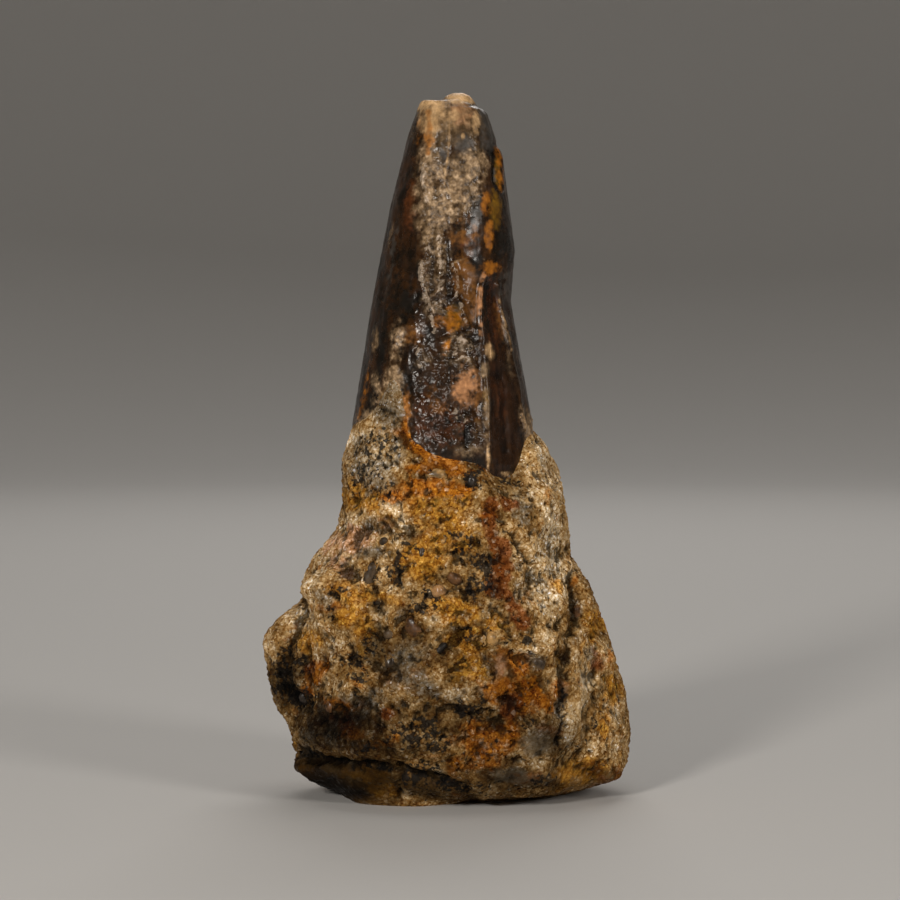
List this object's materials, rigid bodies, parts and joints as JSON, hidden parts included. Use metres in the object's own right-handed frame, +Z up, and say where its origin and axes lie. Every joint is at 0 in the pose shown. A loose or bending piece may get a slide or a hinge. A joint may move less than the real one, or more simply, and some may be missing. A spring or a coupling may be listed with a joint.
{
  "type": "fossil dinosaur tooth in matrix",
  "caption": "Conical fossil tooth crown with a snapped tip, standing upright in the lump of coarse rusty sandstone it was found in.",
  "frame": {"origin": "middle of the foot that the lump stands on", "axes": "+Z up along the tooth towards its tip, +X to the right of the best face, which looks along -Y"},
  "size_m": [0.0397, 0.0308, 0.076],
  "materials": {
    "enamel": "satin dark brown fossil enamel with fine lengthwise grain and a sandy crust",
    "sandstone": "rough coarse sandstone, ochre and rust with grey quartz grains and black specks"
  },
  "bodies": {
    "root": {"tooth": "enamel", "matrix": "sandstone"}
  },
  "joints": []
}
